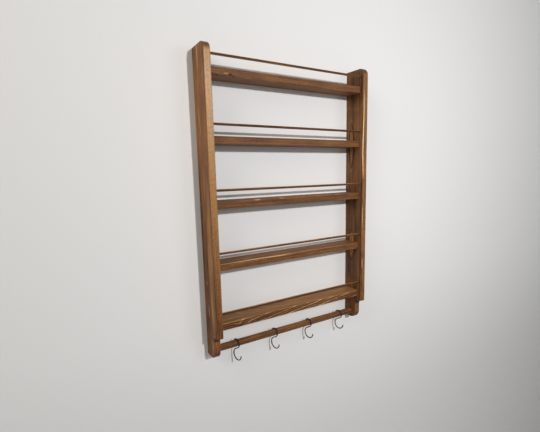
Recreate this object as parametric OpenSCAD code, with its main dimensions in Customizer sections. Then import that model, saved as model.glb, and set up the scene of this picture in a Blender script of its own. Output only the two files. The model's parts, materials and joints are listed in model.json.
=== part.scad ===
// Wall spice rack: two shaped side boards carry shelves with thin guard rails,
// and a thick rail between their tails carries wire S-hooks.
// X runs across the rack, Z is up, the wall is the plane Y = 0 and the front faces -Y.
// The origin lies midway between the entry holes of the two keyhole plates.

/* [Rack] */
// Clear width between the side boards
inner_w = 450; // [300:1:800]
// Thickness of a side board
board_t = 16.5; // [15:0.5:28]
// How far a side board stands out from the wall
board_d = 70.5; // [64:0.5:110]
// How far a side board rises above the top shelf
board_rise = 48.5; // [36:0.5:120]
// Number of shelves
shelf_count = 5; // [2:1:7]
// Distance from one shelf to the next
shelf_pitch = 150; // [110:1:260]

/* [Side board outline] */
// Radius of the rounded top front corner
corner_r = 20; // [5:0.5:28]
// Height from the lowest shelf's top down to the step in the front edge
step_drop = 31; // [26:0.5:60]
// Height of the narrow tail below the step
tail_h = 63.5; // [56:0.5:110]
// How far the tail stands out from the wall
tail_d = 48; // [42:0.5:56]
// Radius of the cove between the step and the tail
cove_r = 20; // [5:0.5:30]
// Radius of the tail's rounded front corner
tail_r = 24; // [5:0.5:30]
// Radius of the eased long edges of boards and shelves
arris_r = 2; // [0.5:0.1:3]

/* [Shelves] */
// Thickness of a shelf
shelf_t = 18; // [14:0.5:24]
// How far a shelf's front edge lies behind the boards' front edges
shelf_set_back = 14.5; // [8:0.5:20]

/* [Dowel pins] */
// Diameter of the hidden pins that join shelf to board
pin_d = 6; // [4:0.5:8]
// Length of a pin
pin_l = 30; // [20:1:50]
// Depth of a pin in the board
pin_seat = 10; // [6:0.5:12]
// Distance of a pin from the shelf's front or back edge
pin_inset = 14; // [8:0.5:18]

/* [Guard rails] */
// Diameter of a guard rail
guard_d = 6; // [4:0.5:10]
// Height of a guard rail's centre above its shelf
guard_rise = 26; // [16:0.5:34]
// Distance of a guard rail's centre behind the boards' front edges
guard_set_back = 14.5; // [8:0.5:22]
// Depth of a guard rail in each board
guard_seat = 8; // [4:0.5:12]

/* [Mug rail] */
// Diameter of the mug rail
mug_rail_d = 18; // [12:0.5:20]
// Distance of the mug rail's centre behind the tails' front edges
mug_rail_set_back = 24; // [18:0.5:26]
// Height of the mug rail's centre above the boards' bottom ends
mug_rail_up = 19; // [16:0.5:30]
// Depth of the mug rail in each board
mug_rail_seat = 10; // [5:0.5:12]

/* [S-hooks] */
// Number of S-hooks
hook_count = 4; // [1:1:5]
// Distance from the left board to the first S-hook
hook_first = 53.5; // [30:0.5:90]
// Distance from the last S-hook to the right board
hook_last = 48.5; // [30:0.5:90]
// Diameter of the wire
wire_d = 3; // [2:0.1:4]
// Room between the rail and the inside of the upper curl, across
hook_slack = 3; // [2:0.1:9]
// Radius of the lower curl at the middle of the wire
lower_curl_r = 15.5; // [10:0.1:18]
// Room between the two curls, measured between their wires' middle lines
curl_gap = 2.5; // [1:0.1:12]
// Angle at which the upper curl ends behind the rail
upper_tip = 195; // [150:1:210]
// Angle at which the lower curl ends in front
lower_tip = -10; // [-30:1:30]
// Turn of the hooks about the vertical, off square to the rail
hook_turn = 12; // [0:1:25]

/* [Keyhole plates] */
// Drop of the keyhole plates' entry holes below the boards' tops
hang_drop = 36; // [32:1:44]
// Width of a plate
plate_w = 12; // [11:0.1:12.5]
// Height of a plate
plate_h = 44; // [40:0.5:60]
// Thickness of a plate
plate_t = 1.6; // [1.2:0.1:2.5]
// Diameter of the entry hole for the wall screw's head
entry_d = 8.5; // [7:0.1:9]
// Width of the slot above the entry hole
slot_w = 4.2; // [3:0.1:5]
// Height from the entry hole's centre to the slot's end
slot_rise = 8; // [6:0.5:10]
// Depth of the pocket behind a plate
pocket_depth = 12; // [8:0.5:16]
// Diameter of a plate screw
screw_d = 3; // [2.5:0.1:3.5]
// Length of a plate screw
screw_l = 16; // [10:1:25]
// Diameter of a plate screw's head
screw_head_d = 5.5; // [5:0.1:6]
// Distance of a plate screw from the plate's end
screw_inset = 4.5; // [4:0.1:6]

/* [Fits] */
// Radial room of a glued rail or pin in its bore
glue_gap = 0.05; // [0.02:0.01:0.1]
// Room left past the end of a pin or rail in its blind bore
end_gap = 0.5; // [0.3:0.1:1]
// Room between the mug rail and a hook resting on it
hook_gap = 0.3; // [0.2:0.05:0.5]
// Room around a let-in plate and around a screw head
plate_gap = 0.1; // [0.05:0.05:0.2]

/* [Hidden] */
$fn = 64;

stain_board = "#7a5233";
stain_shelf = "#7d5639";
stain_rail = "#8a5f3c";
beech = "#d8b98c";
black_wire = "#26282c";
zinc = "#b9bcbe";
past = 0.5; // how far a cutter runs past the wood it cuts

// Heights, from the boards' tops down
z_top = hang_drop;
z_step = shelf_z(shelf_count) - step_drop;
z_bottom = z_step - tail_h;
z_mug = z_bottom + mug_rail_up;
function shelf_z(i) = z_top - board_rise - (i - 1) * shelf_pitch; // top of shelf i

// Places across and out from the wall
board_mid = inner_w / 2 + board_t / 2;
shelf_d = board_d - shelf_set_back;
guard_out = board_d - guard_set_back;
mug_rail_out = tail_d - mug_rail_set_back;
hook_pitch = (inner_w - hook_first - hook_last) / max(1, hook_count - 1);
tail_round = min(tail_r, tail_d - arris_r, tail_h / 2);
cove = min(cove_r, board_d - tail_d, tail_h - tail_round);

// Hook: two curls on one upright line, joined by the line that touches both inside
rail_r = mug_rail_d / 2;
upper_curl_r = rail_r + hook_slack / 2 + wire_d / 2;
curl_span = upper_curl_r + lower_curl_r + curl_gap;
upper_curl_z = rail_r + hook_gap + wire_d / 2 - upper_curl_r;
link_tilt = asin((upper_curl_r + lower_curl_r) / curl_span);
link_l = sqrt(pow(curl_span, 2) - pow(upper_curl_r + lower_curl_r, 2));
link_lap = 0.25; // how far the link runs on inside each bend
lapped_d = wire_d - 0.02; // the link and tips are this much thinner, to end inside the bends

// A hook hangs with the middle of its weight right below the upper curl's centre
upper_sweep = upper_tip + link_tilt;
lower_sweep = 180 + lower_tip + link_tilt;
weight_out = pow(upper_curl_r, 2) * (sin(upper_tip) + sin(link_tilt))
    + link_l * (upper_curl_r - lower_curl_r) / 2 * cos(link_tilt)
    + pow(lower_curl_r, 2) * (sin(lower_tip) - sin(180 - link_tilt));
weight_down = pow(upper_curl_r, 2) * (cos(upper_tip) - cos(link_tilt))
    + link_l * (curl_span + (upper_curl_r - lower_curl_r) * sin(link_tilt)) / 2
    + curl_span * lower_curl_r * lower_sweep * PI / 180
    + pow(lower_curl_r, 2) * (cos(lower_tip) - cos(180 - link_tilt));
hook_lean = -atan2(weight_out, weight_down);

// Plate
plate_mid_z = slot_rise / 2;
screw_offset = plate_h / 2 - screw_inset;

// A flat shape in (Y, Z) drawn out along X from x = 0
module along_x(length) {
    rotate([90, 0, 90]) linear_extrude(length) children();
}

// A round bar along X, centred on x = 0
module bar_along_x(d, length) {
    rotate([0, 90, 0]) cylinder(d = d, h = length, center = true);
}

// A rectangle with rounded corners, from the origin
module soft_rect(w, h, r) {
    translate([r, 0]) square([w - 2 * r, h]);
    translate([0, r]) square([w, h - 2 * r]);
    for (x = [r, w - r], y = [r, h - r]) translate([x, y]) circle(r);
}

// What the easing takes off an edge: x runs in from the edge, y in from the face
module arris_profile() {
    difference() {
        translate([-past, -past]) square(arris_r + past);
        translate([arris_r, arris_r]) circle(arris_r * 1.03);
    }
}

// Easing along a straight edge that runs up Y from the origin, with wood towards +X and +Z
module arris_run(length) {
    translate([0, length, 0]) rotate([90, 0, 0]) linear_extrude(length) arris_profile();
}

// Easing around a quarter of an outside corner, from angle start
module arris_corner(r, start) {
    rotate(start) rotate_extrude(angle = 90) translate([r, 0]) mirror([1, 0]) arris_profile();
}

// Easing around a quarter of an inside cove
module arris_cove(r) {
    rotate_extrude(angle = 90) translate([r, 0]) arris_profile();
}

// Outline of a side board in (Y, Z)
module board_outline() {
    translate([-board_d, z_step]) square([board_d, z_top - corner_r - z_step]);
    translate([-board_d + corner_r, z_step]) square([board_d - corner_r, z_top - z_step]);
    translate([-board_d + corner_r, z_top - corner_r]) circle(corner_r);
    translate([-tail_d, z_bottom + tail_round]) square([tail_d, tail_h - tail_round]);
    translate([-tail_d + tail_round, z_bottom]) square([tail_d - tail_round, tail_h]);
    translate([-tail_d + tail_round, z_bottom + tail_round]) circle(tail_round);
    difference() {
        translate([-tail_d - cove, z_step - cove]) square(cove);
        translate([-tail_d - cove, z_step - cove]) circle(cove);
    }
}

// Easing of one face's edges, all but the edge on the wall, with the face at z = 0
module board_easing() {
    translate([-board_d + corner_r, z_top, 0]) rotate(-90) arris_run(board_d - corner_r + past);
    translate([-board_d + corner_r, z_top - corner_r, 0]) arris_corner(corner_r, 90);
    translate([-board_d, z_step - past, 0]) arris_run(z_top - corner_r - z_step + past);
    translate([-tail_d - cove, z_step, 0]) rotate(90) arris_run(board_d - tail_d - cove + past);
    translate([-tail_d - cove, z_step - cove, 0]) arris_cove(cove);
    translate([-tail_d, z_bottom + tail_round, 0]) arris_run(tail_h - tail_round - cove);
    translate([-tail_d + tail_round, z_bottom + tail_round, 0]) arris_corner(tail_round, 180);
    translate([past, z_bottom, 0]) rotate(90) arris_run(tail_d - tail_round + past);
}

// Outline of a keyhole, entry hole at the origin, in (X, Z)
module keyhole(entry, slot) {
    circle(d = entry);
    translate([-slot / 2, 0]) square([slot, slot_rise]);
    translate([0, slot_rise]) circle(d = slot);
}

// A flat shape in (X, Z) drawn out from the wall plane into the board
module into_board(depth) {
    rotate([90, 0, 0]) linear_extrude(depth) children();
}

// The recess, pocket and pilot holes for one keyhole plate, in the board's back edge
module plate_recess() {
    translate([-plate_w / 2 - plate_gap, past, plate_mid_z - plate_h / 2 - plate_gap])
        into_board(plate_t + past) soft_rect(plate_w + 2 * plate_gap, plate_h + 2 * plate_gap, 2);
    into_board(pocket_depth) keyhole(entry_d + 1, entry_d + 1);
    for (side = [-1, 1]) translate([0, 0, plate_mid_z + side * screw_offset])
        rotate([90, 0, 0]) cylinder(d = screw_d + 2 * glue_gap, h = screw_l + end_gap);
}

// The right board's solid, with its inner face at x = inner_w / 2
module side_board() {
    difference() {
        translate([inner_w / 2, 0, 0]) along_x(board_t) board_outline();
        translate([inner_w / 2, 0, 0]) rotate([90, 0, 90]) board_easing();
        translate([inner_w / 2 + board_t, 0, 0]) mirror([1, 0, 0]) rotate([90, 0, 90]) board_easing();
        for (i = [1 : shelf_count]) {
            shelf_pin_bores(i);
            translate([0, -guard_out, shelf_z(i) + guard_rise])
                bar_along_x(guard_d + 2 * glue_gap, inner_w + 2 * guard_seat);
        }
        translate([0, -mug_rail_out, z_mug])
            bar_along_x(mug_rail_d + 2 * glue_gap, inner_w + 2 * mug_rail_seat);
        translate([board_mid, 0, 0]) plate_recess();
    }
}

// Places of a shelf's two pins at its right end, at the joint face
module at_shelf_pins(i) {
    for (out = [pin_inset, shelf_d - pin_inset])
        translate([inner_w / 2, -out, shelf_z(i) - shelf_t / 2]) children();
}

// The bores for the pins of shelf i, in board and shelf alike
module shelf_pin_bores(i) {
    at_shelf_pins(i) translate([pin_seat - pin_l - end_gap, 0, 0]) rotate([0, 90, 0])
        cylinder(d = pin_d + 2 * glue_gap, h = pin_l + 2 * end_gap);
}

// A pin with chamfered ends
module shelf_pin() {
    chamfer = 0.8;
    rotate([0, 90, 0]) {
        translate([0, 0, chamfer]) cylinder(d = pin_d, h = pin_l - 2 * chamfer);
        cylinder(d1 = pin_d - 2 * chamfer, d2 = pin_d, h = chamfer);
        translate([0, 0, pin_l - chamfer]) cylinder(d1 = pin_d, d2 = pin_d - 2 * chamfer, h = chamfer);
    }
}

// Draws its children and their mirror image across the rack's middle
module both_sides() {
    children();
    mirror([1, 0, 0]) children();
}

module shelf(i) {
    color(stain_shelf) difference() {
        translate([-inner_w / 2, -shelf_d, shelf_z(i) - shelf_t])
            along_x(inner_w) soft_rect(shelf_d, shelf_t, arris_r);
        both_sides() shelf_pin_bores(i);
    }
}

module shelf_pins(i) {
    color(beech) both_sides() at_shelf_pins(i) translate([pin_seat - pin_l, 0, 0]) shelf_pin();
}

module guard_rail(i) {
    color(stain_rail) translate([0, -guard_out, shelf_z(i) + guard_rise])
        bar_along_x(guard_d, inner_w + 2 * (guard_seat - end_gap));
}

module mug_rail() {
    color(stain_rail) translate([0, -mug_rail_out, z_mug])
        bar_along_x(mug_rail_d, inner_w + 2 * (mug_rail_seat - end_gap));
}

// A bend of the wire about the origin, in the XY plane
module wire_bend(r, start, sweep) {
    rotate(start) rotate_extrude(angle = sweep) translate([r, 0]) circle(d = wire_d);
}

// The rounded end of a bend
module wire_tip(r, angle) {
    rotate(angle) translate([r, 0, 0]) sphere(d = lapped_d);
}

// One hook, with X towards the front, Y up and the mug rail's centre at the origin
module hook_wire() {
    translate([0, upper_curl_z, 0]) rotate(hook_lean) {
        wire_bend(upper_curl_r, -link_tilt, upper_sweep);
        wire_tip(upper_curl_r, upper_tip);
        rotate(-link_tilt) translate([upper_curl_r, link_lap, 0]) rotate([90, 0, 0])
            cylinder(d = lapped_d, h = link_l + 2 * link_lap);
        translate([0, -curl_span, 0]) {
            wire_bend(lower_curl_r, 180 - link_tilt, lower_sweep);
            wire_tip(lower_curl_r, lower_tip);
        }
    }
}

module s_hook(i) {
    $fn = 32;
    x = -inner_w / 2 + hook_first + (i - 1) * hook_pitch;
    color(black_wire) translate([x, -mug_rail_out, z_mug])
        rotate([90, 0, hook_turn - 90]) hook_wire();
}

// The right keyhole plate, flush with the board's back edge
module keyhole_plate() {
    color(zinc) translate([board_mid, 0, 0]) difference() {
        translate([-plate_w / 2, 0, plate_mid_z - plate_h / 2])
            into_board(plate_t) soft_rect(plate_w, plate_h, 2);
        translate([0, past, 0]) into_board(plate_t + 2 * past) keyhole(entry_d, slot_w);
        at_plate_screws() {
            translate([0, past, 0]) rotate([90, 0, 0])
                cylinder(d = screw_d + 2 * plate_gap, h = plate_t + 2 * past);
            rotate([90, 0, 0]) cylinder(
                d1 = screw_head_d + 2 * plate_gap, d2 = screw_d + 2 * plate_gap, h = plate_t);
        }
    }
}

module at_plate_screws() {
    for (side = [-1, 1]) translate([0, 0, plate_mid_z + side * screw_offset]) children();
}

// A countersunk wood screw with a cross recess, driven in from the wall side
module plate_screw() {
    point_l = screw_d;
    recess_w = screw_head_d / 8;
    rotate([90, 0, 0]) difference() {
        union() {
            translate([0, 0, plate_gap])
                cylinder(d1 = screw_head_d, d2 = screw_d, h = plate_t - plate_gap);
            translate([0, 0, plate_t - past]) cylinder(d = screw_d, h = screw_l - point_l - plate_t + past);
            translate([0, 0, screw_l - point_l]) cylinder(d1 = screw_d, d2 = 0.4, h = point_l);
        }
        for (turn = [0, 90]) rotate(turn)
            translate([-screw_head_d / 4, -recess_w / 2, -past])
                cube([screw_head_d / 2, recess_w, plate_t / 2 + past]);
    }
}

module plate_screws() {
    color(zinc) translate([board_mid, 0, 0]) at_plate_screws() plate_screw();
}

color(stain_board) mirror([1, 0, 0]) side_board();  // side_board_left
color(stain_board) side_board();  // side_board_right
for (i = [1 : shelf_count]) {
    shelf(i);
    shelf_pins(i);
    guard_rail(i);
}
mug_rail();
for (i = [1 : hook_count]) s_hook(i);
mirror([1, 0, 0]) keyhole_plate();  // keyhole_plate_left
keyhole_plate();  // keyhole_plate_right
mirror([1, 0, 0]) plate_screws();  // plate_screws_left
plate_screws();  // plate_screws_right
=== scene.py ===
"""Wall spice rack: stained pine boards, shelves and rails with black wire S-hooks.

Laid out as an add-on and run as a script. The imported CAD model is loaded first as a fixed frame.
The boards, shelves and plates are its own solids with materials on them. The rails, pins, screws
and hooks are made here by Geometry Nodes and stand for their solids. Lengths are in metres.
"""
import json
import math

import bpy
from mathutils import Matrix, Vector


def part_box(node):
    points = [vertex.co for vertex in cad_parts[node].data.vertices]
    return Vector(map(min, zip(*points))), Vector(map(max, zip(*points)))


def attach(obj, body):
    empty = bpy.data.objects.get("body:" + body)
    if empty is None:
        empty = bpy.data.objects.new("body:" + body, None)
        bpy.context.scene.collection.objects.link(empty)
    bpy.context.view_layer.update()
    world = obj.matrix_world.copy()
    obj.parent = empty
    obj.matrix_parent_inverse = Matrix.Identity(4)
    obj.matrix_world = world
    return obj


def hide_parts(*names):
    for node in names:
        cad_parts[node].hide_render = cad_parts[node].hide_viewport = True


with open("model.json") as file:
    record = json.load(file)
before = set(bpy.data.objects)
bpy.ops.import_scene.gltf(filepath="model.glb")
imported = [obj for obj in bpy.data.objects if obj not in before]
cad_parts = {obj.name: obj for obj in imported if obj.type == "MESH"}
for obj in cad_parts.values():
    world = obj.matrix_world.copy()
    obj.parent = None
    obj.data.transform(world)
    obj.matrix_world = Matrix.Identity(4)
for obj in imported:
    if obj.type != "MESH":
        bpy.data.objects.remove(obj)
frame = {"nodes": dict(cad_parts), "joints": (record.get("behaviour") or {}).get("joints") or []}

bl_info = {
    "name": "Wall Spice Rack",
    "version": (1, 0, 0),
    "blender": (4, 5, 0),
    "location": "View3D > Sidebar > Spice Rack",
    "description": "Finishes a stained pine wall rack and its wire hooks",
    "category": "Object",
}

SHELVES = 5
HOOKS = 4
SIDES = ("left", "right")
MM = 0.001

# The kinds of node that are used most
MATH = "ShaderNodeMath"
MAP_RANGE = "ShaderNodeMapRange"
RAMP = "ShaderNodeValToRGB"
MIX = "ShaderNodeMix"
VECTOR_MATH = "ShaderNodeVectorMath"

# Faces that meet at less than this are shaded as one round surface
ROUND_BELOW = math.radians(35)

# Layers of the grain: length and width of a feature in millimetres, detail, roughness and seed
GRAIN = {
    "uneven": (160.0, 26.0, 1.0, 0.5, 3.0),
    "streak": (120.0, 3.2, 3.0, 0.55, 7.0),
    "fibre": (14.0, 0.9, 2.0, 0.6, 11.0),
    "cloud": (70.0, 30.0, 2.0, 0.5, 17.0),
    "band": (420.0, 9.0, 1.0, 0.5, 23.0),
    "speck": (6.0, 1.3, 1.5, 0.5, 29.0),
}
# Paleness across one growth ring, from early wood to the hard late wood near its end
LATE_WOOD = ((0.0, 0.25), (0.12, 0.0), (0.55, 0.15), (0.86, 1.0), (0.96, 0.9), (1.0, 0.25))
# Paleness out from a streak's middle; it dips at the edge, where a ring runs out of the face
STREAK = ((0.0, 1.0), (0.55, 0.95), (0.8, 0.6), (0.98, 0.3), (1.0, 0.5))

# The wall stands just behind the rack and reaches down to the floor
WALL_Y = 0.3 * MM
WALL_TOP = 2.2
HALF_WIDTH = 6.0
FLOOR_Z = -1.9
FLOOR_Y = (-6.0, 4.0)

# Lamps: name, place, point they face, diameter, spread in degrees, watts and tint
WHITE = (1.0, 1.0, 1.0)
LAMPS = (
    ("key", (0.15, -2.07, 0.375), (0.4, 0.0, -0.4), 0.09, 118, 13.1, WHITE),
    ("left soft box", (-2.2, -1.0, 1.2), (-0.1, 0.0, -0.4), 1.6, 180, 28.0, (1.0, 0.94, 0.86)),
    ("front soft box", (-0.4, -2.8, 0.3), (0.0, 0.0, -0.3), 1.6, 180, 6.0, WHITE),
    ("right soft box", (1.6, -2.6, 0.2), (0.7, 0.0, -0.2), 1.4, 180, 11.0, (0.92, 0.96, 1.0)),
)

# The camera: its place, the directions to its right and behind it, its lens in mm and its shift
CAMERA_PLACE = (-0.5432, -0.8628, -0.2412)
CAMERA_RIGHT = (0.84452, -0.53523, -0.01754)
CAMERA_BACK = (-0.52643, -0.83575, 0.15618)
CAMERA_LENS = 24.549
CAMERA_SHIFT = (-0.0277, 0.0219)


def srgb(code):
    """Turns an sRGB hex colour such as #7a5233 into a linear RGBA colour."""
    steps = [int(code[i : i + 2], 16) / 255 for i in (1, 3, 5)]
    linear = [c / 12.92 if c <= 0.04045 else ((c + 0.055) / 1.055) ** 2.4 for c in steps]
    return (*linear, 1.0)


def scaled(tint, factor):
    """A colour made darker, or paler by a factor above 1."""
    return (*[c * factor for c in tint[:3]], 1.0)


def extent(node):
    """Size of a CAD node along X, Y and Z."""
    low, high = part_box(node)
    return high - low


def middle(node):
    """Middle of a CAD node's box."""
    low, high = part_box(node)
    return (low + high) / 2


def fill(tree, node, links):
    """Links a node's inputs to sockets or to other nodes' first outputs, or sets their values."""
    for key, value in links.items():
        if isinstance(value, bpy.types.Node):
            value = value.outputs[0]
        if isinstance(value, bpy.types.NodeSocket):
            tree.links.new(value, node.inputs[key])
        else:
            node.inputs[key].default_value = value


def add(tree, kind, links=None, stops=(), **settings):
    """Adds one node to a tree with its settings, the stops of its colour ramp and its inputs."""
    node = tree.nodes.new(kind)
    for name, value in settings.items():
        setattr(node, name, value)
    if stops:
        band = node.color_ramp.elements
        while len(band) < len(stops):
            band.new(0.5)
        for element, (place, tint) in zip(band, stops):
            element.position = place
            element.color = (tint, tint, tint, 1.0) if isinstance(tint, float) else tint
    fill(tree, node, links or {})
    return node


# Sizes and colours


def length(name, description, default):
    """A property that holds a length."""
    return bpy.props.FloatProperty(
        name=name, description=description, default=default, unit="LENGTH"
    )


class RackSizes(bpy.types.PropertyGroup):
    guard_diameter: length(
        "Guard rail diameter",
        "Diameter of the thin rails above the shelves",
        extent("guard_rail_1").z,
    )
    mug_rail_diameter: length(
        "Mug rail diameter",
        "Diameter of the thick rail between the tails",
        extent("mug_rail").z,
    )
    wire_diameter: length("Hook wire diameter", "Diameter of the S-hooks' wire", 3.0 * MM)
    upper_curl: length(
        "Upper curl radius", "Radius of a hook's upper curl at the middle of the wire", 12.0 * MM
    )
    lower_curl: length(
        "Lower curl radius", "Radius of a hook's lower curl at the middle of the wire", 15.5 * MM
    )
    curl_span: length("Curl span", "Distance between the centres of a hook's two curls", 30.0 * MM)
    hook_lean: bpy.props.FloatProperty(
        name="Hook lean",
        description="Turn of a free hook that brings its lower curl forward",
        default=math.radians(4.53),
        subtype="ANGLE",
    )
    pin_diameter: length("Pin diameter", "Diameter of the hidden dowel pins", extent("shelf_pins_1").z)
    pin_length: length("Pin length", "Length of a dowel pin", 30.0 * MM)
    screw_diameter: length("Screw diameter", "Diameter over the thread of a plate screw", 3.0 * MM)
    screw_head: length("Screw head diameter", "Diameter of a plate screw's countersunk head", 5.5 * MM)
    screw_length: length("Screw length", "Length of a plate screw", 16.0 * MM)
    grain_pitch: length("Ring spacing", "Width of one growth ring in the pine", 4.2 * MM)


def colour(name, description, code):
    """A colour property whose default is an sRGB hex value."""
    return bpy.props.FloatVectorProperty(
        name=name, description=description, default=srgb(code),
        subtype="COLOR", size=4, min=0.0, max=1.0,
    )


class RackColours(bpy.types.PropertyGroup):
    board_deep: colour("Board, deep", "Darkest stain on the side boards", "#3c2312")
    board_body: colour("Board, body", "Main colour of the side boards", "#8c5c32")
    board_pale: colour("Board, pale", "Palest wood on the side boards", "#ba8b54")
    # Palest board colour: stain worn through on the arrises, and also painted as a sheen on the upper
    # front faces
    board_bare_and_sheen: colour("Board, rubbed", "Front edge where the stain is rubbed thin", "#bb8c55")
    # Its palest tone also makes the painted highlights along the arrises of the right board and shelf 4
    streak: colour("Streak", "Sapwood streaks that took little stain", "#e2c196")
    shelf_deep: colour("Shelf, deep", "Darkest stain on the shelves", "#34200f")
    shelf_body: colour("Shelf, body", "Main colour of the shelves", "#704624")
    shelf_pale: colour("Shelf, pale", "Palest wood on the shelves", "#a07341")
    rail_deep: colour("Rail, deep", "Darkest stain on the guard rails", "#26140a")
    rail_body: colour("Rail, body", "Main colour of the guard rails", "#4b2b11")
    rail_pale: colour("Rail, pale", "Palest wood on the guard rails", "#8f6335")
    knot: colour("Knot", "Colour at the heart of a knot", "#2a150a")
    beech: colour("Pin", "Colour of the beech pins", "#d8b98c")
    wire: colour("Wire", "Colour of the hooks' lacquer", "#0e0f11")
    zinc: colour("Zinc", "Colour of the plates and screws", "#b9bcbe")
    wall: colour("Wall", "Colour of the wall behind the rack", "#e4e3e2")
    floor: colour("Floor", "Colour of the floor", "#dcdad6")


# Materials


def new_material(name):
    """A named material, its node tree and its shader, which is linked to the output."""
    material = bpy.data.materials.new(name)
    material.use_nodes = True
    tree = material.node_tree
    tree.nodes.clear()
    shader = add(tree, "ShaderNodeBsdfPrincipled")
    add(tree, "ShaderNodeOutputMaterial", {"Surface": shader})
    return material, tree, shader


def millimetres(tree):
    """The point on the piece, in millimetres."""
    place = add(tree, "ShaderNodeTexCoord").outputs["Object"]
    return add(tree, "ShaderNodeMapping", {"Vector": place, "Scale": [1 / MM] * 3})


def oval(tree, point, at, half, turn=0.0):
    """Distance from an oval's middle, 1 on its edge. Half sizes are in mm, the turn in degrees."""
    rotation = (0.0, 0.0, math.radians(turn))
    links = {"Vector": point, "Location": at, "Rotation": rotation, "Scale": half}
    inside = add(tree, "ShaderNodeMapping", links, vector_type="TEXTURE")
    return add(tree, VECTOR_MATH, {0: inside}, operation="LENGTH").outputs["Value"]


def mottle(tree, point, sizes, detail=2.0, roughness=0.5, seed=0.0):
    """Noise over a point in millimetres. Sizes are those of its features along X, Y and Z."""
    shift = (seed, seed * 0.7, -seed)
    links = {"Vector": point, "Location": shift, "Scale": [1 / size for size in sizes]}
    spread = add(tree, "ShaderNodeMapping", links)
    links = {"Vector": spread, "Scale": 1.0, "Detail": detail, "Roughness": roughness}
    return add(tree, "ShaderNodeTexNoise", links)


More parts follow.
